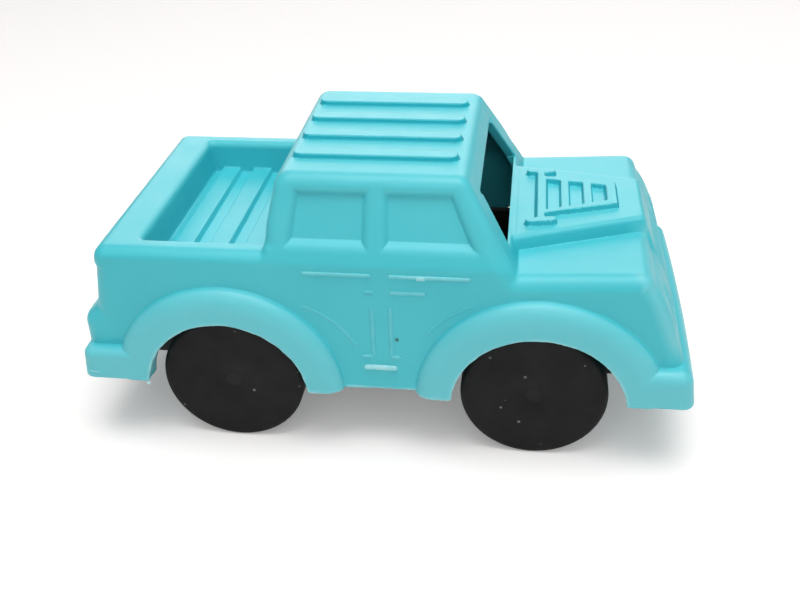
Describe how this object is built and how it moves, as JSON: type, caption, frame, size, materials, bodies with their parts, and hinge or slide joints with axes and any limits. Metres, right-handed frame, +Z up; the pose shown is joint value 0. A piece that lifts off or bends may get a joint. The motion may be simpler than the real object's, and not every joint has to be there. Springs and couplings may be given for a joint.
{
  "type": "toy pickup truck",
  "caption": "Small moulded toy pickup truck: thin turquoise body with an open windscreen and a slatted bed, on a black floor pan with rolling wheels.",
  "frame": {"origin": "middle of the bounding box, on the ground under the wheels", "axes": "+X to the front of the truck, +Y to its left side, +Z up"},
  "size_m": [0.0762, 0.0386, 0.0366],
  "materials": {
    "body_plastic": "satin moulded turquoise",
    "pan_plastic": "satin moulded black",
    "axle_plastic": "satin moulded black",
    "wheel_plastic": "matte moulded black with fine scuffs"
  },
  "bodies": {
    "truck": {"body_shell": "body_plastic", "floor_pan": "pan_plastic"},
    "front_wheelset": {"front_axle": "axle_plastic", "front_left_wheel": "wheel_plastic", "front_right_wheel": "wheel_plastic"},
    "rear_wheelset": {"rear_axle": "axle_plastic", "rear_left_wheel": "wheel_plastic", "rear_right_wheel": "wheel_plastic"}
  },
  "joints": [
    {"name": "front_wheels_roll", "type": "hinge", "parent": "truck", "child": "front_wheelset", "pos_m": [0.0188, 0, 0.009], "axis": [0, 1, 0], "continuous": true},
    {"name": "rear_wheels_roll", "type": "hinge", "parent": "truck", "child": "rear_wheelset", "pos_m": [-0.019, 0, 0.009], "axis": [0, 1, 0], "continuous": true}
  ]
}
